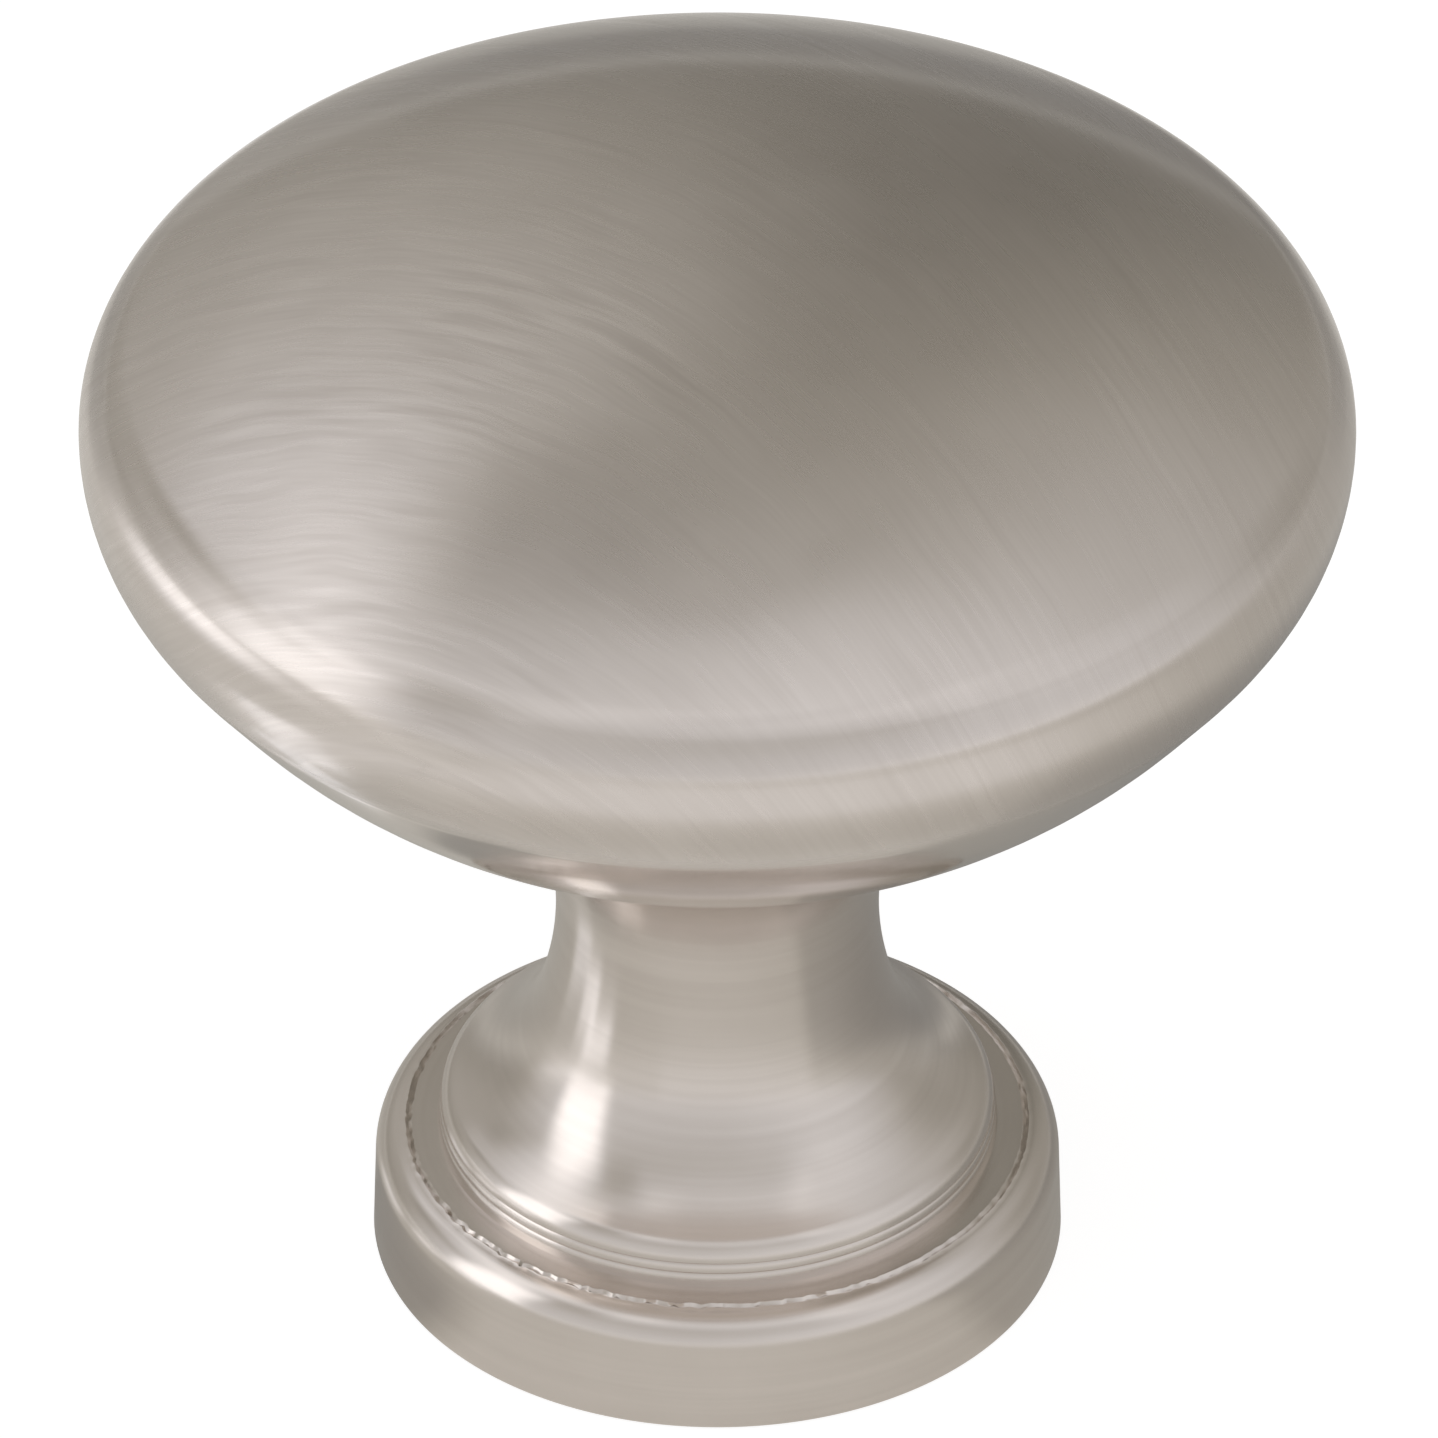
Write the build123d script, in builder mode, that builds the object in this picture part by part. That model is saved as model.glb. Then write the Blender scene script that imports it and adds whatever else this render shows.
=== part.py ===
from build123d import *
import os
from math import asin, atan2, cos, degrees, radians, sin, tan

# Cabinet knob, turned from one piece: a shallow domed head on a waisted neck that flares
# into a rolled lip over a round foot. The foot's flat back sits on the door or drawer
# front, and a machine screw comes through the door into the tapped hole.
# Millimetres. The axis of the knob is Z, and the flat back of the foot lies at Z = 0.

# Head
overall_height = 31.2
head_radius = 16.0
dome_radius = 28.8
rim_radius = 2.55
side_radius = 4.2
side_turn = 38.0
slant_length = 1.4
belly_radius = 15.4

# Neck and the flare below it
waist_radius = 4.08
waist_height = 10.2
lower_neck_radius = 10.1
lower_neck_angle = 15.2
flare_radius = 5.28
flare_angle = 42.4

# Foot
foot_radius = 8.73
foot_height = 3.25
foot_wall_draft = 1.5
shoulder_rounding = 1.05
back_edge_rounding = 0.08

# Rolled lip at the bottom of the flare, standing on the foot's top
lip_rounding = 0.73
lip_edge_slope = 6.0

# Fine groove turned into the top of the foot where its shoulder begins
groove_inset = 0.9
groove_width = 0.16
groove_depth = 0.08

# Tapped hole for the mounting screw, at its thread's minor diameter
screw_hole_radius = 1.73
screw_hole_depth = 12.0
drill_point_angle = 118.0
hole_mouth_chamfer = 0.4

# The head's profile runs from the top of the dome outwards, down round the rim and in again.
# The dome meets the rim where both have the same tangent, which sets the dome's angle.
dome_turn = degrees(asin((head_radius - rim_radius) / (dome_radius - rim_radius)))
rim_turn = 90 - dome_turn

# Centre of the belly's arc, worked out along the profile
widest_height = overall_height - dome_radius + (dome_radius - rim_radius) * cos(radians(dome_turn))
side_end_radius = head_radius - side_radius * (1 - cos(radians(side_turn)))
side_end_height = widest_height - side_radius * sin(radians(side_turn))
belly_start_radius = side_end_radius - slant_length * sin(radians(side_turn))
belly_start_height = side_end_height - slant_length * cos(radians(side_turn))
belly_centre_radius = belly_start_radius - belly_radius * cos(radians(side_turn))
belly_centre_height = belly_start_height + belly_radius * sin(radians(side_turn))

# The neck's upper sweep leaves the waist upright and meets the belly tangentially, so the
# two centres lie belly_radius + upper_sweep apart
rise = belly_centre_height - waist_height
offset_in = waist_radius - belly_centre_radius
upper_sweep = (rise**2 + offset_in**2 - belly_radius**2) / (2 * (belly_radius - offset_in))
upper_sweep_turn = degrees(atan2(rise, offset_in + upper_sweep))
belly_turn = upper_sweep_turn - side_turn

# Corner of the foot's top, and the groove's place
foot_top_radius = foot_radius - foot_height * tan(radians(foot_wall_draft))
groove_radius = foot_radius - groove_inset

# The lip rolls over from the flare's slope to the slope of its own edge
lip_turn = lower_neck_angle + flare_angle - lip_edge_slope

# The tapped hole ends in the cone that the drill leaves
drill_point_height = screw_hole_radius / tan(radians(drill_point_angle / 2))

os.makedirs("parts", exist_ok=True)


def corner(sketch, radius, height):
    """The corner of a half section nearest to a radius and a height."""
    return sketch.vertices().sort_by_distance((radius, height))[:1]


with BuildPart() as knob:
    # Half section of the knob, turned about its axis
    with BuildSketch(Plane.XZ) as section:
        with BuildLine():
            top = (0, overall_height)
            dome = JernArc(top, (1, 0), dome_radius, -dome_turn)
            rim = JernArc(dome @ 1, dome % 1, rim_radius, -rim_turn)
            side = JernArc(rim @ 1, rim % 1, side_radius, -side_turn)
            slant = Line(side @ 1, side @ 1 + (side % 1) * slant_length)
            belly = JernArc(slant @ 1, slant % 1, belly_radius, -belly_turn)
            upper_neck = JernArc(belly @ 1, belly % 1, upper_sweep, upper_sweep_turn)
            lower_neck = JernArc(upper_neck @ 1, upper_neck % 1, lower_neck_radius, lower_neck_angle)
            flare = JernArc(lower_neck @ 1, lower_neck % 1, flare_radius, flare_angle)
            lip = JernArc(flare @ 1, flare % 1, lip_rounding, -lip_turn)
            lip_edge_length = ((lip @ 1).Y - foot_height) / cos(radians(lip_edge_slope))
            lip_edge = Line(lip @ 1, lip @ 1 + (lip % 1) * lip_edge_length)
            Polyline(
                lip_edge @ 1,
                (foot_top_radius, foot_height),
                (foot_radius, 0),
                (0, 0),
                top,
            )
        make_face()
        fillet(corner(section, foot_top_radius, foot_height), shoulder_rounding)
        fillet(corner(section, foot_radius, 0), back_edge_rounding)
    revolve(axis=Axis.Z)

    # Groove in the foot's top
    with BuildSketch(Plane.XZ):
        with BuildLine():
            Polyline(
                (groove_radius - groove_width / 2, foot_height),
                (groove_radius, foot_height - groove_depth),
                (groove_radius + groove_width / 2, foot_height),
                close=True,
            )
        make_face()
    revolve(axis=Axis.Z, mode=Mode.SUBTRACT)

    # Tapped hole with the drill's cone at its end and a chamfered mouth
    with BuildSketch(Plane.XZ):
        with BuildLine():
            Polyline(
                (0, 0),
                (screw_hole_radius + hole_mouth_chamfer, 0),
                (screw_hole_radius, hole_mouth_chamfer),
                (screw_hole_radius, screw_hole_depth),
                (0, screw_hole_depth + drill_point_height),
                close=True,
            )
        make_face()
    revolve(axis=Axis.Z, mode=Mode.SUBTRACT)

knob.part.label = "knob"
export_step(knob.part, "parts/knob.step")
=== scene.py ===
from math import asin, atan2, cos, degrees, pi, radians, sin, tan

import bpy
import numpy as np
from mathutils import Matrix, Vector


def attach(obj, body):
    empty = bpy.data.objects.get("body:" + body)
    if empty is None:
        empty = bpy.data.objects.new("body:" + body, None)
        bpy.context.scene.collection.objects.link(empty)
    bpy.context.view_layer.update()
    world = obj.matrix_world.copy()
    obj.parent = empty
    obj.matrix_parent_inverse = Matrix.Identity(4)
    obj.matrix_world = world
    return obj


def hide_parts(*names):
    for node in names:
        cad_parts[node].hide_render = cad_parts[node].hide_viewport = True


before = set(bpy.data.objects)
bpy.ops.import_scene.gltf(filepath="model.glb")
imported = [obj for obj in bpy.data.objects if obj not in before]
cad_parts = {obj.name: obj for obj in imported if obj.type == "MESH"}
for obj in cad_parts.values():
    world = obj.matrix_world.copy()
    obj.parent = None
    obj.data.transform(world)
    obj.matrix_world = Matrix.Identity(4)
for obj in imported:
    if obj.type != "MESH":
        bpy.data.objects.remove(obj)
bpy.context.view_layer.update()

# Sizes in millimetres, the same ones as the solid's, apart from the foot's top, whose slight fall
# and rounding are given further down. The axis of the knob is Z, and the flat back of the foot
# lies at Z = 0.
OVERALL_HEIGHT = 31.2
HEAD_RADIUS = 16.0
DOME_RADIUS = 28.8
RIM_RADIUS = 2.55
SIDE_RADIUS = 4.2
SIDE_TURN = 38.0
SLANT_LENGTH = 1.4
BELLY_RADIUS = 15.4
WAIST_RADIUS = 4.08
WAIST_HEIGHT = 10.2
LOWER_NECK_RADIUS = 10.1
LOWER_NECK_ANGLE = 15.2
FLARE_RADIUS = 5.28
FLARE_ANGLE = 42.4
LIP_ROUNDING = 0.73
LIP_EDGE_SLOPE = 6.0
FOOT_RADIUS = 8.73
FOOT_HEIGHT = 3.25
FOOT_WALL_DRAFT = 1.5
BACK_EDGE_ROUNDING = 0.08
GROOVE_INSET = 0.9
GROOVE_WIDTH = 0.16
GROOVE_DEPTH = 0.08
SCREW_HOLE_RADIUS = 1.73
SCREW_HOLE_DEPTH = 12.0
DRILL_POINT_ANGLE = 118.0
HOLE_MOUTH_CHAMFER = 0.4

# Fine lines turned into the edge of the lip, as heights, and their size
LIP_LINES = (3.90, 3.62)
LIP_LINE_WIDTH = 0.09
LIP_LINE_DEPTH = 0.03

# The foot's top falls outwards a little, in degrees, to a shoulder of this radius. Its groove is
# uneven where the tool chattered, most of all at GROOVE_ROUGH degrees from the front.
LEDGE_FALL = 3.0
LEDGE_ROUNDING = 0.95
GROOVE_ROUGH = -25.0
GROOVE_STRAY = 0.05
GROOVE_DEPTH_CHANGE = 0.9

# Thread in the hole, No. 8-32
THREAD_PITCH = 0.794
THREAD_DEPTH = 0.32

# Steps round the axis, and the angle in degrees from which an edge looks sharp
SEGMENTS = 360
SHARP_FROM = 32


def arc(centre, radius, start, stop, count):
    """Points (radius, height) on a circle, centre + radius * (cos t, sin t), for count
    angles t spaced evenly from start to stop, in degrees."""
    t = np.radians(np.linspace(start, stop, count))
    return np.stack([centre[0] + radius * np.cos(t), centre[1] + radius * np.sin(t)], -1)


def run(start, stop, count):
    """count points spaced evenly on the straight line from start to stop."""
    t = np.linspace(0, 1, count)[:, None]
    return np.array(start) * (1 - t) + np.array(stop) * t


def head_profile():
    """Half profile from the top of the dome, over the rim and in under the head to the waist.
    Each arc starts where the last one ends, with the same tangent."""
    dome_turn = degrees(asin((HEAD_RADIUS - RIM_RADIUS) / (DOME_RADIUS - RIM_RADIUS)))
    widest = OVERALL_HEIGHT - DOME_RADIUS + (DOME_RADIUS - RIM_RADIUS) * cos(radians(dome_turn))
    turn = radians(SIDE_TURN)
    side_centre = (HEAD_RADIUS - SIDE_RADIUS, widest)
    side_end = np.array(side_centre) + SIDE_RADIUS * np.array([cos(turn), -sin(turn)])
    belly_start = side_end - SLANT_LENGTH * np.array([sin(turn), cos(turn)])
    belly_centre = belly_start - BELLY_RADIUS * np.array([cos(turn), -sin(turn)])
    rise = belly_centre[1] - WAIST_HEIGHT
    offset = WAIST_RADIUS - belly_centre[0]
    sweep = (rise**2 + offset**2 - BELLY_RADIUS**2) / (2 * (BELLY_RADIUS - offset))
    sweep_turn = degrees(atan2(rise, offset + sweep))
    return [
        arc((0, OVERALL_HEIGHT - DOME_RADIUS), DOME_RADIUS, 90, 90 - dome_turn, 36),
        arc((HEAD_RADIUS - RIM_RADIUS, widest), RIM_RADIUS, 90 - dome_turn, 0, 18),
        arc(side_centre, SIDE_RADIUS, 0, -SIDE_TURN, 10),
        run(side_end, belly_start, 3),
        arc(belly_centre, BELLY_RADIUS, -SIDE_TURN, -sweep_turn, 14),
        arc((WAIST_RADIUS + sweep, WAIST_HEIGHT), sweep, 180 - sweep_turn, 180, 20),
    ]


def lip_edge_profile(start):
    """Half profile of the lip's edge from the rolled lip down to the foot's top: a straight
    line with a V-shaped line turned into it at each of LIP_LINES."""
    slope = tan(radians(LIP_EDGE_SLOPE))
    half = LIP_LINE_WIDTH / 2

    def edge(height, depth=0.0):
        return [start[0] + (start[1] - height) * slope - depth, height]

    points = []
    for height in LIP_LINES:
        points += [edge(height + half), edge(height, LIP_LINE_DEPTH), edge(height - half)]
    points += [edge(FOOT_HEIGHT + 0.15), edge(FOOT_HEIGHT + 0.01), edge(FOOT_HEIGHT)]
    return np.array(points)


def foot_profile():
    """Half profile from the waist down the flare, over the lip and the foot's shoulder, to the
    mouth of the screw hole in the flat back."""
    draft = radians(FOOT_WALL_DRAFT)
    neck_centre = np.array([WAIST_RADIUS + LOWER_NECK_RADIUS, WAIST_HEIGHT])
    lower_neck = arc(neck_centre, LOWER_NECK_RADIUS, 180, 180 + LOWER_NECK_ANGLE, 9)
    start = radians(LOWER_NECK_ANGLE)
    flare_centre = lower_neck[-1] + FLARE_RADIUS * np.array([cos(start), sin(start)])
    slope = LOWER_NECK_ANGLE + FLARE_ANGLE
    flare = arc(flare_centre, FLARE_RADIUS, 180 + LOWER_NECK_ANGLE, 180 + slope, 20)
    lip_centre = flare[-1] - LIP_ROUNDING * np.array([cos(radians(slope)), sin(radians(slope))])
    lip = arc(lip_centre, LIP_ROUNDING, slope, LIP_EDGE_SLOPE, 16)

    edge = lip_edge_profile(lip[-1])
    fall = radians(LEDGE_FALL)
    normals = np.array([[sin(fall), cos(fall)], [cos(draft), sin(draft)]])
    reaches = np.array([normals[0] @ edge[-1], normals[1] @ (FOOT_RADIUS, 0)]) - LEDGE_ROUNDING
    shoulder_centre = np.linalg.solve(normals, reaches)
    groove = FOOT_RADIUS - GROOVE_INSET
    inner = groove - GROOVE_WIDTH / 2
    outer = groove + GROOVE_WIDTH / 2

    def ledge(radius):
        return (radius, edge[-1, 1] - (radius - edge[-1, 0]) * tan(fall))

    def shoulder(radius):
        return degrees(np.arccos((radius - shoulder_centre[0]) / LEDGE_ROUNDING))

    back = BACK_EDGE_ROUNDING
    mouth = SCREW_HOLE_RADIUS + HOLE_MOUTH_CHAMFER
    return [
        lower_neck,
        flare,
        lip,
        edge,
        run(ledge(edge[-1, 0] + 0.02), ledge(inner - 0.02), 4),
        np.array([ledge(inner), ledge(groove), ledge(outer)]) - [[0, 0], [0, GROOVE_DEPTH], [0, 0]],
        arc(shoulder_centre, LEDGE_ROUNDING, shoulder(outer + 0.02), FOOT_WALL_DRAFT, 14),
        run((FOOT_RADIUS - 2 * back * tan(draft), 2 * back), (FOOT_RADIUS - back * tan(draft), back), 2),
        run((FOOT_RADIUS - 0.3 * back, 0.3 * back), (FOOT_RADIUS - back, 0), 2),
        run((FOOT_RADIUS - 0.4, 0), (mouth, 0), 8),
    ]


def hole_profile():
    """Half profile of the screw hole from its chamfered mouth, up the threaded wall and over the
    drill's cone to the axis."""
    point = SCREW_HOLE_RADIUS / tan(radians(DRILL_POINT_ANGLE / 2))
    wall_start = (SCREW_HOLE_RADIUS, HOLE_MOUTH_CHAMFER)
    wall_end = (SCREW_HOLE_RADIUS, SCREW_HOLE_DEPTH)
    return [
        run(wall_start, wall_end, 84),
        run(wall_end, (0, SCREW_HOLE_DEPTH + point), 5),
    ]


def unevenness(angle, seed):
    """How far the groove strays at each angle, from -1 to 1: a sum of sine waves with 9 to 170
    turns round the knob and phases from a seed. It fades to a third away from GROOVE_ROUGH,
    by the cosine of the angle from there."""
    turns = np.arange(9, 171, 7)
    phases = np.random.default_rng(seed).uniform(0, 2 * pi, len(turns))
    waves = np.sin(turns[:, None] * angle + phases[:, None]).sum(0) / np.sqrt(len(turns))
    rough = radians(GROOVE_ROUGH - 90)
    return np.clip(waves, -1.3, 1.3) / 1.3 * (1 / 3 + 2 / 3 * np.clip(np.cos(angle - rough), 0, 1) ** 2)


def turned_knob(name):
    """The knob as one closed surface: the half profile (r, z) carried round the axis, point
    (r cos a, r sin a, z) for SEGMENTS angles a. In the hole the radius follows a helix,
    r + depth * saw(z / pitch - a / turn), which cuts the thread into the wall. The profile's
    length, in millimetres from the top of the dome, is kept on the points as "turning"."""
    profile = np.concatenate(head_profile() + foot_profile() + hole_profile())
    gap = np.hypot(*np.diff(profile, axis=0).T)
    profile = profile[np.concatenate([[True], gap > 1e-4])]
    length = np.concatenate([[0], np.cumsum(np.hypot(*np.diff(profile, axis=0).T))])
    rings = profile[1:-1]
    angle = np.linspace(0, 2 * pi, SEGMENTS, endpoint=False)
    radius = np.repeat(rings[:, :1], SEGMENTS, 1)
    height = np.repeat(rings[:, 1:], SEGMENTS, 1)

    on_top = (height > FOOT_HEIGHT / 2) & (height < FOOT_HEIGHT)
    off_groove = np.abs(radius - (FOOT_RADIUS - GROOVE_INSET))
    change = GROOVE_DEPTH * GROOVE_DEPTH_CHANGE
    height = height - (on_top & (off_groove < 1e-6)) * change * unevenness(angle, 8)
    radius = radius + (on_top & (off_groove < GROOVE_WIDTH)) * GROOVE_STRAY * unevenness(angle, 5)

    phase = (height / THREAD_PITCH - angle / (2 * pi)) % 1.0
    ridge = 1 - np.abs(2 * phase - 1)
    wall = np.abs(radius - SCREW_HOLE_RADIUS) < 1e-6
    lead_in = np.clip((height - HOLE_MOUTH_CHAMFER) / 0.2, 0, 1)
    run_out = np.clip((SCREW_HOLE_DEPTH - 0.2 - height) / 0.8, 0, 1)
    radius = radius + wall * lead_in * run_out * THREAD_DEPTH * np.clip(1.25 * ridge - 0.125, 0, 1)

    points = np.stack([radius * np.cos(angle), radius * np.sin(angle), height], -1).reshape(-1, 3)
    points = np.concatenate([points, [[0, 0, profile[0, 1]]], [[0, 0, profile[-1, 1]]]]) / 1000
    turning = np.concatenate([np.repeat(length[1:-1], SEGMENTS), length[:1], length[-1:]])
    count = len(rings)
    top = count * SEGMENTS
    tip = top + 1
    column = np.arange(SEGMENTS)
    beside = (column + 1) % SEGMENTS
    row = np.arange(count - 1)[:, None] * SEGMENTS
    below = row + SEGMENTS
    quads = np.stack([row + column, below + column, below + beside, row + beside], -1).reshape(-1, 4)
    last = (count - 1) * SEGMENTS
    cap = np.stack([np.full(SEGMENTS, top), column, beside], -1)
    end = np.stack([np.full(SEGMENTS, tip), last + beside, last + column], -1)

    mesh = bpy.data.meshes.new(name)
    mesh.from_pydata(points.tolist(), [], quads.tolist() + cap.tolist() + end.tolist())
    mesh.update()
    mesh.polygons.foreach_set("use_smooth", np.ones(len(mesh.polygons), bool))
    mesh.set_sharp_from_angle(angle=radians(SHARP_FROM))
    mesh.attributes.new("turning", "FLOAT", "POINT").data.foreach_set("value", turning.astype(np.float32))
    knob = bpy.data.objects.new(name, mesh)
    bpy.context.collection.objects.link(knob)
    return knob


# Places of a Mix node's two inputs and its output for each kind of value
MIX_SOCKETS = {"FLOAT": (2, 3, 0), "VECTOR": (4, 5, 1), "RGBA": (6, 7, 2)}


class Formula:
    """Writes arithmetic as nodes of a node tree. Each method takes numbers or output sockets
    and gives back an output socket."""

    def __init__(self, tree):
        self.tree = tree

    def fill(self, socket, value):
        if isinstance(value, bpy.types.NodeSocket):
            self.tree.links.new(value, socket)
        else:
            socket.default_value = value

    def __call__(self, operation, *values):
        made = self.tree.nodes.new("ShaderNodeMath")
        made.operation = operation
        for socket, value in zip(made.inputs, values):
            self.fill(socket, value)
        return made.outputs[0]

    def add(self, *values):
        total = values[0]
        for value in values[1:]:
            total = self("ADD", total, value)
        return total

    def times(self, *values):
        total = values[0]
        for value in values[1:]:
            total = self("MULTIPLY", total, value)
        return total

    def step(self, value, low, high, before=0.0, after=1.0):
        """A smooth ramp from before, below low, to after, above high."""
        made = self.tree.nodes.new("ShaderNodeMapRange")
        made.interpolation_type = "SMOOTHSTEP"
        for name, number in (("From Min", low), ("From Max", high), ("To Min", before), ("To Max", after)):
            made.inputs[name].default_value = number
        self.tree.links.new(value, made.inputs["Value"])
        return made.outputs["Result"]

    def window(self, value, low, high, soft):
        """1 between low and high, with ramps of width soft outside them."""
        return self.times(self.step(value, low - soft, low), self.step(value, high, high + soft, 1.0, 0.0))

    def around(self, angle, centre, half, soft):
        """1 where an angle in degrees lies within half of centre, with ramps of width soft."""
        off = self("ABSOLUTE", self("WRAP", self("SUBTRACT", angle, centre), 180.0, -180.0))
        return self.step(off, half, half + soft, 1.0, 0.0)

    def blend(self, factor, first, second, kind="FLOAT"):
        """first where the factor is 0 and second where it is 1. The kind is FLOAT, VECTOR or
        RGBA for a colour."""
        made = self.tree.nodes.new("ShaderNodeMix")
        made.data_type = kind
        first_place, second_place, result = MIX_SOCKETS[kind]
        self.fill(made.inputs["Factor"], factor)
        self.fill(made.inputs[first_place], first)
        self.fill(made.inputs[second_place], second)
        return made.outputs[result]

    def square(self, value):
        return self.times(value, value)

    def vector(self, x, y, z):
        made = self.tree.nodes.new("ShaderNodeCombineXYZ")
        for socket, value in zip(made.inputs, (x, y, z)):
            self.fill(socket, value)
        return made.outputs[0]

    def parts(self, vector):
        made = self.tree.nodes.new("ShaderNodeSeparateXYZ")
        self.tree.links.new(vector, made.inputs[0])
        return made.outputs

    def vectors(self, operation, *values):
        made = self.tree.nodes.new("ShaderNodeVectorMath")
        made.operation = operation
        for socket, value in zip(made.inputs, values):
            self.fill(socket, value)
        return made.outputs[0]

    def place_in_mm(self):
        """Object coordinates in millimetres."""
        place = self.tree.nodes.new("ShaderNodeTexCoord").outputs["Object"]
        return self.vectors("MULTIPLY", place, (1000, 1000, 1000))

    def grain(self, vector, detail):
        """Smooth noise about 0, with cells one unit wide and detail finer layers."""
        made = self.tree.nodes.new("ShaderNodeTexNoise")
        made.inputs["Scale"].default_value = 1.0
        made.inputs["Detail"].default_value = detail
        self.tree.links.new(vector, made.inputs["Vector"])
        return self("SUBTRACT", made.outputs[0], 0.5)


def group(name, inputs, outputs):
    """An empty shader node group with named inputs, as (name, kind, value), and float outputs."""
    tree = bpy.data.node_groups.new(name, "ShaderNodeTree")
    for label, kind, value in inputs:
        socket = tree.interface.new_socket(label, in_out="INPUT", socket_type=kind)
        if value is not None:
            socket.default_value = value
    for label in outputs:
        tree.interface.new_socket(label, in_out="OUTPUT", socket_type="NodeSocketFloat")
    return tree, tree.nodes.new("NodeGroupInput").outputs, tree.nodes.new("NodeGroupOutput").inputs


def place_group(tree, made, values):
    """A node group placed in a tree, with values or sockets for its named inputs."""
    placed = tree.nodes.new("ShaderNodeGroup")
    placed.node_tree = made
    for label, value in values.items():
        Formula(tree).fill(placed.inputs[label], value)
    return placed.outputs


def strokes_group():
    """Strokes of an abrasive. The place, in millimetres, runs along the strokes in x and z and
    across them in y. Height is the relief, and Tone is above 0 on the brighter strokes."""
    tree, given, put = group(
        "abrasive_strokes",
        [("Place", "NodeSocketVector", None), ("Length", "NodeSocketFloat", 3.0),
         ("Width", "NodeSocketFloat", 0.1)],
        ["Height", "Tone"],
    )
    f = Formula(tree)
    along, across, beside = f.parts(given["Place"])

    def layer(length, width, offset, detail):
        """Noise drawn out along the strokes, with cells of these multiples of Length and Width."""
        x = f("DIVIDE", along, f.times(given["Length"], length))
        y = f.add(f("DIVIDE", across, f.times(given["Width"], width)), offset)
        z = f("DIVIDE", beside, f.times(given["Length"], length))
        return f.grain(f.vector(x, y, z), detail)

    # Fine grain, bundles of strokes that are stronger in some places, and a few single scratches
    fine = layer(1.0, 1.6, 0.0, 1.0)
    bundle = layer(1.6, 4.2, 17.3, 0.5)
    single = f.step(layer(1.8, 2.2, 41.7, 0.0), 0.1, 0.3)
    patchy = f.step(layer(2.2, 26.0, 63.1, 0.0), -0.2, 0.25, 0.25, 2.0)
    both = f.add(f.times(bundle, patchy), f.times(single, 0.1))
    f.fill(put["Height"], f.add(f.times(fine, 0.8), both))
    f.fill(put["Tone"], f.add(fine, both))
    return tree


# How the head was brushed: strokes along curves of constant y + BRUSH_BEND * (x - BRUSH_CENTRE)^2,
# seen from above in millimetres, that lean over by BRUSH_LEAN with the fall below the dome
BRUSH_BEND = 0.034
BRUSH_CENTRE = -14.8
BRUSH_LEAN = 0.8
# How far the strokes stray from those curves
BRUSH_STRAY = 0.45

# Length and width of the head's strokes and of the turned lines below them, in millimetres, the
# relief of those lines against the strokes', and the middle of the patch with the coarsest strokes
BRUSHED_LENGTH = 1.8
BRUSHED_WIDTH = 0.1
TURNED_LENGTH = 9.0
TURNED_WIDTH = 0.09
TURNED_DEPTH = 0.5
COARSE_PATCH = (-5.0, -4.0)
# Height of the relief in metres
RELIEF = 0.0000017

# Heights in millimetres: the belly under the head begins at BELLY_FROM, and the head's strokes
# give way to turned lines from BRUSHED_FULLY down to BRUSHED_FROM
BELLY_FROM = 16.0
BRUSHED_FROM = 22.5
BRUSHED_FULLY = 22.95

# A faint dark line round the rim, painted shade standing in for a dark reflection, as lengths along the
# profile from the top of the dome
PAINTED_RIM_REFLECTION = (16.33, 16.39)

# Metal where it is darkest and brightest, and the gloss of the head, the belly and the rest
DARKER_METAL = (0.60, 0.548, 0.503, 1)
BRIGHTER_METAL = (0.74, 0.686, 0.641, 1)
HEAD_ROUGHNESS = 0.28
BELLY_ROUGHNESS = 0.11
NECK_ROUGHNESS = 0.199
HEAD_COAT = 0.9
NECK_COAT = 0.4


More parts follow.
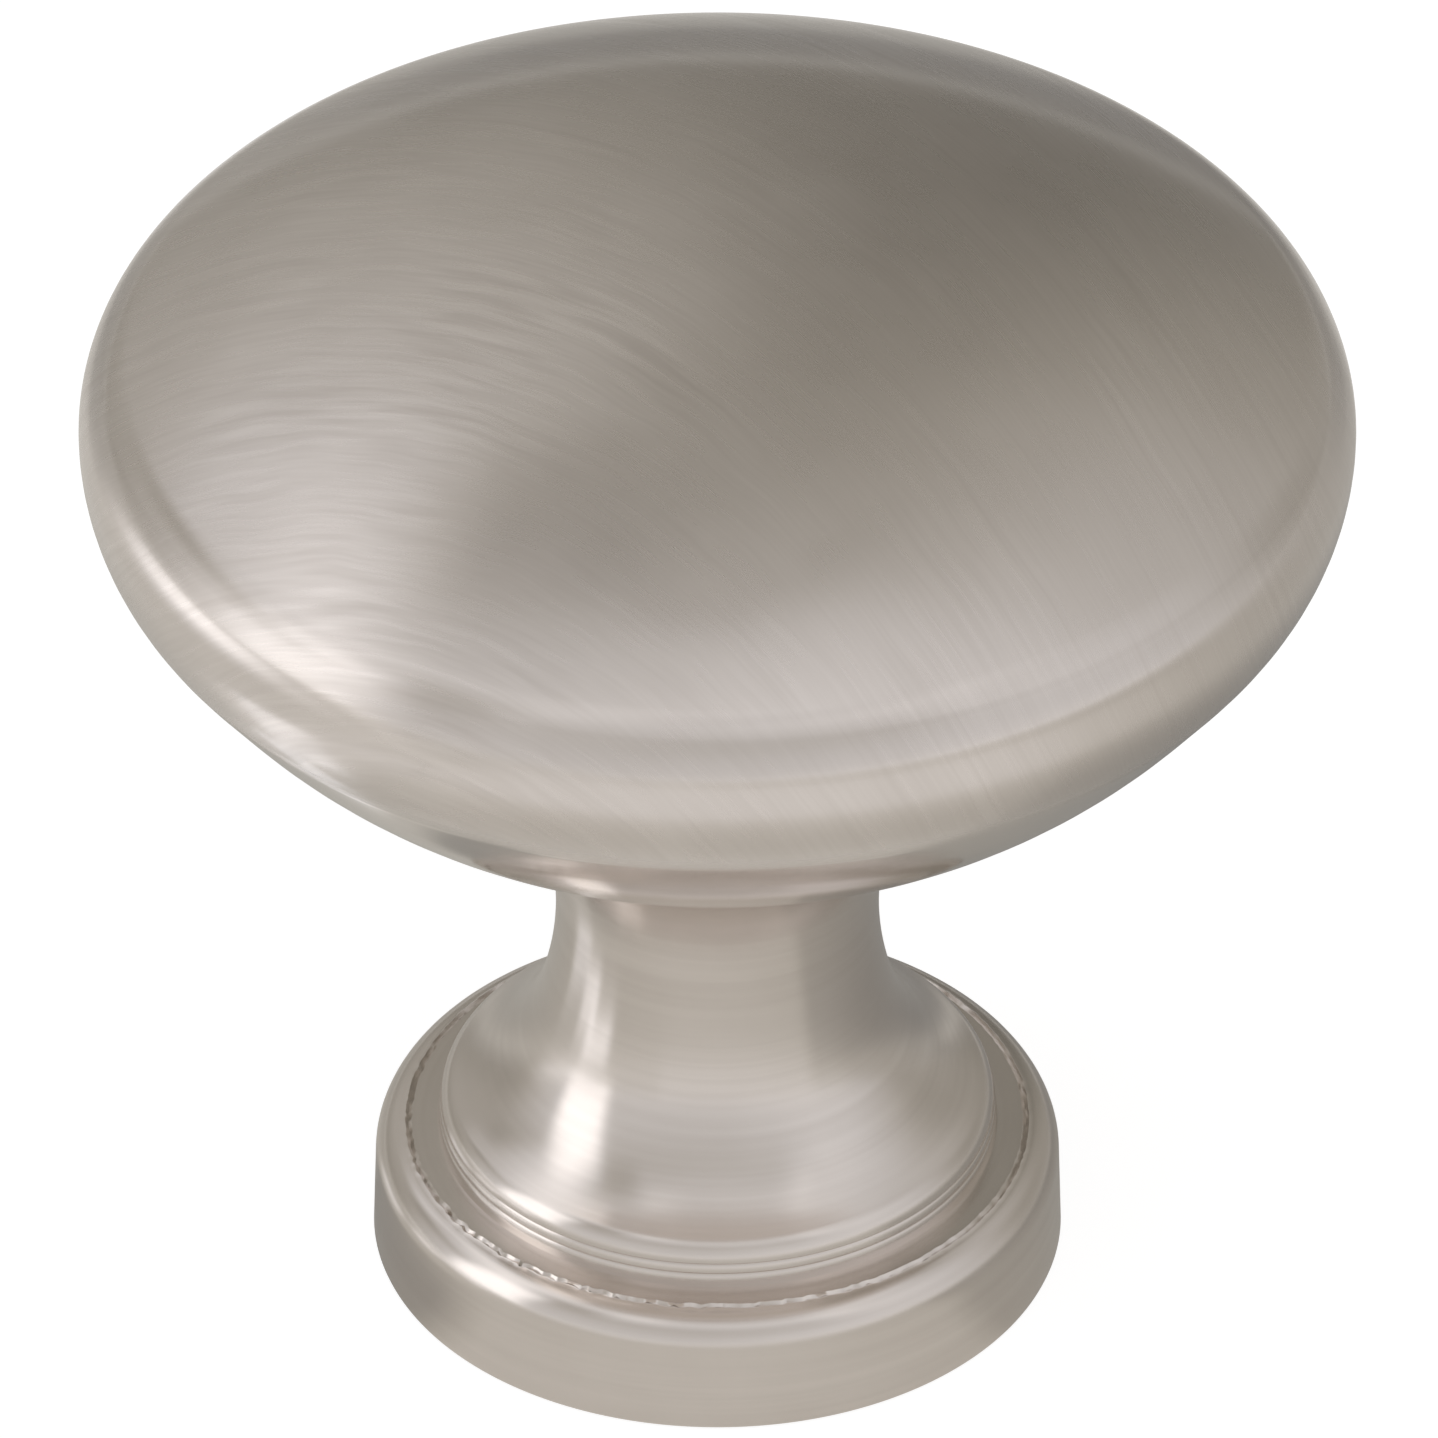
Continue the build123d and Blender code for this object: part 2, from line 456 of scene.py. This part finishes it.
def satin_nickel(strokes):
    """Brushed satin nickel: a metal whose gloss is drawn out across its strokes. The head's
    strokes are slightly bent, and below the head the lines run round the axis."""
    material = bpy.data.materials.new("satin_nickel")
    material.use_nodes = True
    tree = material.node_tree
    shader = tree.nodes["Principled BSDF"]
    shader.inputs["Metallic"].default_value = 1.0
    shader.inputs["Anisotropic"].default_value = 0.8
    shader.inputs["Coat Roughness"].default_value = 0.14
    shader.inputs["Coat IOR"].default_value = 1.8
    f = Formula(tree)
    place = f.place_in_mm()
    x, y, z = f.parts(place)
    turning = tree.nodes.new("ShaderNodeAttribute")
    turning.attribute_name = "turning"
    geometry = tree.nodes.new("ShaderNodeNewGeometry")

    off_centre = f("SUBTRACT", x, BRUSH_CENTRE)
    stray = f.times(f.grain(f.vectors("MULTIPLY", place, (0.4, 0.4, 0.4)), 1.0), BRUSH_STRAY)
    below_dome = f.add(z, -OVERALL_HEIGHT, f.times(f.add(f.square(x), f.square(y)), 0.5 / DOME_RADIUS))
    across = f.add(y, f.times(off_centre, off_centre, BRUSH_BEND), f.times(below_dome, BRUSH_LEAN), stray)
    on_head = f.step(z, BRUSHED_FROM, BRUSHED_FULLY)
    turned = f.vector(x, turning.outputs["Fac"], y)
    marks = place_group(tree, strokes, {
        "Place": f.blend(on_head, turned, f.vector(x, across, 0.0), "VECTOR"),
        "Length": f.blend(on_head, TURNED_LENGTH, BRUSHED_LENGTH),
        "Width": f.blend(on_head, TURNED_WIDTH, BRUSHED_WIDTH),
    })
    # The head's strokes are deeper towards the left, and coarsest in a patch left of the middle
    off_patch = f("SQRT", f.add(
        f.square(f.add(x, -COARSE_PATCH[0])), f.square(f.add(y, -COARSE_PATCH[1]))
    ))
    head_depth = f.times(
        f.step(f.add(x, f.times(y, -0.5)), -7.0, 8.0, 1.2, 0.6), f.step(off_patch, 1.5, 6.0, 1.8, 1.0)
    )
    deep = f.blend(on_head, TURNED_DEPTH, head_depth)
    height = f.times(marks["Height"], deep)
    tone = f.times(marks["Tone"], deep)
    f.fill(shader.inputs["Coat Weight"], f.blend(on_head, NECK_COAT, HEAD_COAT))

    # The gloss spreads across the strokes: over the plan curves on the head, along the profile below
    across_strokes = f.vector(f.times(off_centre, 2 * BRUSH_BEND), 1.0, 0.0)
    round_axis = f.vectors("CROSS_PRODUCT", (0, 0, 1), place)
    along = f.vectors("CROSS_PRODUCT", round_axis, geometry.outputs["Normal"])
    along_profile = f.vectors("NORMALIZE", along)
    spread = f.blend(on_head, along_profile, f.vectors("NORMALIZE", across_strokes), "VECTOR")
    f.fill(shader.inputs["Tangent"], spread)

    # Cloudy patches where the finish is a little duller or brighter
    clouds = f.grain(f.vectors("MULTIPLY", place, (0.35, 0.35, 0.35)), 2.0)
    # Painted dark reflection: a thin ring of darker base colour round the rim
    painted_rim_reflection = f.window(turning.outputs["Fac"], PAINTED_RIM_REFLECTION[0], PAINTED_RIM_REFLECTION[1], 0.1)
    # Base colour: the metal below the head is painted brighter than the head's, 0.75 against 0.5, a
    # painted brightness standing in for its brighter reflections; the strokes' tone and the clouds vary it
    # at random, and the rim's painted dark reflection darkens it
    shade = f.add(
        f.blend(on_head, 0.75, 0.5), f.times(tone, 0.7), f.times(clouds, 0.5), f.times(painted_rim_reflection, -0.13)
    )
    f.fill(shader.inputs["Base Color"], f.blend(shade, DARKER_METAL, BRIGHTER_METAL, "RGBA"))
    underneath = f.window(z, BELLY_FROM, BRUSHED_FROM, 0.5)
    below = f.blend(underneath, NECK_ROUGHNESS, BELLY_ROUGHNESS)
    roughness = f.blend(on_head, below, HEAD_ROUGHNESS)
    f.fill(shader.inputs["Roughness"], f.add(roughness, f.times(tone, -0.06), f.times(clouds, 0.06)))

    bump = tree.nodes.new("ShaderNodeBump")
    bump.inputs["Strength"].default_value = 1.0
    bump.inputs["Distance"].default_value = RELIEF
    f.fill(bump.inputs["Height"], height)
    f.fill(shader.inputs["Normal"], bump.outputs["Normal"])
    return material


knob = turned_knob("brushed_knob")
knob.data.materials.append(satin_nickel(strokes_group()))
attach(knob, "root")
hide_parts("knob")


# Studio, as brightness over azimuth (0 in front, positive to the right) and elevation, in
# degrees: an even level, and what is added with the direction's part to the front, that part's
# square, its part to the right, its part upwards and that part's square
SKY = (0.613, 0.517, -0.404, 0.054, -0.003, -0.52)

# Soft-edged panels on it: centre and half width in azimuth, lower and upper edge, softness in
# azimuth and in elevation, brightness added, which is below 0 for a dark gap
PANELS = {
    "softbox": (-77.3, 8.9, -10.3, 34.5, 8.6, 18.1, 0.898),
    "softbox_top": (-107.7, 4.4, 38.2, 52.1, 44.7, 14.2, 0.718),
    "ceiling": (5.3, 88.5, 63.2, 92.7, 44.3, 15.6, 0.683),
    "gap_over_softbox": (-103.3, 13.7, 33.0, 40.0, 13.0, 11.0, -0.42),
    "window_in_front": (4.0, 42.3, 43.6, 56.6, 13.2, 6.1, 0.214),
    "horizon": (-16.3, 83.0, -17.5, 0.7, 38.2, 4.2, 0.17),
    "right_wall": (91.2, 28.4, 49.4, 46.2, 34.1, 36.2, 0.354),
    "back_wall": (176.7, 25.2, -1.8, 75.3, 45.0, 28.9, 0.433),
    "left_window": (-130.6, 33.5, 18.2, 48.4, 33.2, 29.0, 0.236),
    "ceiling_gap": (47.8, 60.7, 57.6, 67.8, 25.3, 7.5, -0.228),
    "slit_in_front": (2.0, 34.0, 41.5, 44.5, 14.0, 2.5, -0.1),
}

# Table round the knob, as the floor's glow that the knob reflects, its light and shade painted on: an even
# level, what is added towards the front and the right, and what is added away from the knob, from a nearer
# to a farther distance in millimetres. TABLE_LIT is what the room's own light adds to it, and TABLE_SEEN
# its glow where the camera looks at it.
TABLE = (0.871, 0.097, -0.02, -0.23, 10.1, 40.0)
TABLE_LIT = 0.19
TABLE_SEEN = 0.86

# Soft-edged patches painted on it, pools of light and painted shadows: centre and half width in azimuth,
# nearer and farther edge in millimetres, softness in distance and in azimuth, brightness added, which is
# below 0 for a painted shadow
PATCHES = {
    "head_shadow": (-7.0, 177.7, 8.1, 17.8, 26.0, 8.7, -0.33),
    "softbox_glow_far": (-94.3, 5.3, 140.8, 480.7, 79.9, 20.3, 1.006),
    "left_dim": (-49.9, 12.2, 85.9, 481.3, 66.4, 8.2, -0.104),
    "right_dim": (123.1, 61.0, 0.0, 473.1, 21.9, 12.6, -0.124),
    "back_glow": (174.0, 22.1, 49.2, 110.1, 20.5, 11.1, 0.208),
    "back_dim": (193.9, 32.1, 88.7, 494.0, 16.9, 44.9, -0.196),
    "softbox_glow_near": (-101.0, 5.0, 15.0, 17.5, 2.7, 6.0, 0.45),
    "softbox_glow_middle": (-86.4, 3.0, 19.0, 23.2, 3.0, 5.9, 0.75),
    "softbox_glow_outer": (-75.5, 5.0, 26.0, 36.0, 4.0, 7.0, 0.8),
    "front_light": (5.0, 60.0, 44.0, 150.0, 10.0, 20.0, 0.09),
    # Painted shade on the table just left of the foot
    "painted_shade_left_of_foot": (-82.0, 16.0, 0.0, 10.3, 2.0, 18.0, -0.22),
}

# Colour of the dim and of the bright parts of room and table, and the levels between which one
# turns into the other
DIM = (1.05, 1.0, 0.89, 1)
BRIGHT = (1.01, 1.0, 1.015, 1)
DIM_LEVEL = 0.25
BRIGHT_LEVEL = 0.8


def light_colour(f, level):
    """Colour of the studio's light at a brightness."""
    return f.blend(f.step(level, DIM_LEVEL, BRIGHT_LEVEL), DIM, BRIGHT, "RGBA")


def studio():
    """World round the knob: an even level with slopes to the front, side and top, and soft-edged
    panels for the lamps and walls and for the dark gaps between them."""
    world = bpy.data.worlds.new("studio")
    bpy.context.scene.world = world
    world.use_nodes = True
    # Smooth enough to do without a search for its bright parts, which keeps the render short
    world.cycles.sampling_method = "NONE"
    tree = world.node_tree
    f = Formula(tree)
    background = tree.nodes["Background"]
    x, y, z = f.parts(tree.nodes.new("ShaderNodeTexCoord").outputs["Generated"])
    front = f.times(y, -1.0)
    azimuth = f.times(f("ARCTAN2", x, front), 180 / pi)
    elevation = f.times(f("ARCSINE", z), 180 / pi)
    even, to_front, to_front_square, to_right, to_top, to_top_square = SKY
    level = f.add(
        even, f.times(front, to_front), f.times(front, front, to_front_square),
        f.times(x, to_right), f.times(z, to_top), f.times(z, z, to_top_square),
    )
    for centre, half, low, high, soft, soft_height, added in PANELS.values():
        panel = f.times(f.around(azimuth, centre, half, soft), f.window(elevation, low, high, soft_height))
        level = f.add(level, f.times(panel, added))
    f.fill(background.inputs["Strength"], f("MAXIMUM", level, 0.02))
    f.fill(background.inputs["Color"], light_colour(f, level))


def white_floor():
    """Plain pale floor. The camera sees it almost white with a faint shadow. The knob reflects a painted
    glow on it, the table's painted light and shade: brighter in front and where the softbox stands, with
    painted pools of light and painted shadows."""
    bpy.ops.mesh.primitive_plane_add(size=6.0, location=(0, 0, -0.00005))
    floor = bpy.context.object
    floor.name = "floor"
    paint = bpy.data.materials.new("floor_white")
    paint.use_nodes = True
    paint.cycles.emission_sampling = "NONE"
    tree = paint.node_tree
    shader = tree.nodes["Principled BSDF"]
    shader.inputs["Base Color"].default_value = (0.3, 0.3, 0.3, 1)
    shader.inputs["Roughness"].default_value = 0.9
    shader.inputs["Specular IOR Level"].default_value = 0.0
    f = Formula(tree)
    x, y, z = f.parts(f.place_in_mm())
    front = f.times(y, -1.0)
    reach = f("MAXIMUM", f("SQRT", f.add(f.square(x), f.square(y))), 0.001)
    azimuth = f.times(f("ARCTAN2", x, front), 180 / pi)
    even, to_front, to_right, away, near, far = TABLE
    level = f.add(
        even - TABLE_LIT, f.times(f("DIVIDE", front, reach), to_front),
        f.times(f("DIVIDE", x, reach), to_right), f.step(reach, near, far, 0.0, away),
    )
    # Painted pools of light and painted shadows added to the table's glow
    for centre, half, near, far, soft, soft_angle, added in PATCHES.values():
        patch = f.times(f.around(azimuth, centre, half, soft_angle), f.window(reach, near, far, soft))
        level = f.add(level, f.times(patch, added))
    level = f("MAXIMUM", level, 0.0)
    # Other rays see the painted glow as emission, and the camera sees an even TABLE_SEEN
    seen = tree.nodes.new("ShaderNodeLightPath").outputs["Is Camera Ray"]
    f.fill(shader.inputs["Emission Strength"], f.blend(seen, level, TABLE_SEEN))
    colour = f.blend(seen, light_colour(f, level), (1, 1, 1, 1), "RGBA")
    f.fill(shader.inputs["Emission Color"], colour)
    floor.data.materials.append(paint)


white_floor()
studio()

# Camera: a long lens far away, at an elevation in degrees and a distance in metres. The point on
# the axis at TARGET_HEIGHT metres stands in the frame at TARGET_PIXEL, as in the photograph.
CAMERA_ELEVATION = 36.81
CAMERA_DISTANCE = 1.0
TARGET_HEIGHT = 0.013
PIXELS_PER_MM = 39.645
FRAME = 1438
TARGET_PIXEL = (717.4, 809.1)
SENSOR_WIDTH = 36.0

lens = bpy.data.cameras.new("camera")
lens.sensor_fit = "HORIZONTAL"
lens.sensor_width = SENSOR_WIDTH
lens.lens = SENSOR_WIDTH * PIXELS_PER_MM * CAMERA_DISTANCE * 1000 / FRAME
lens.clip_start = 0.05
lens.clip_end = 20.0
camera = bpy.data.objects.new("camera", lens)
bpy.context.collection.objects.link(camera)
tilt = radians(CAMERA_ELEVATION)
away = Vector((0, -cos(tilt), sin(tilt)))
right = Vector((1, 0, 0))
up = Vector((0, sin(tilt), cos(tilt)))
camera.location = Vector((0, 0, TARGET_HEIGHT)) + away * CAMERA_DISTANCE
aside = (FRAME / 2 - TARGET_PIXEL[0]) / PIXELS_PER_MM / 1000
above = (TARGET_PIXEL[1] - FRAME / 2) / PIXELS_PER_MM / 1000
aim = Vector((0, 0, TARGET_HEIGHT)) + right * aside + up * above
camera.rotation_euler = (aim - camera.location).to_track_quat("-Z", "Y").to_euler()
bpy.context.scene.camera = camera

bpy.context.scene.view_settings.view_transform = "Standard"
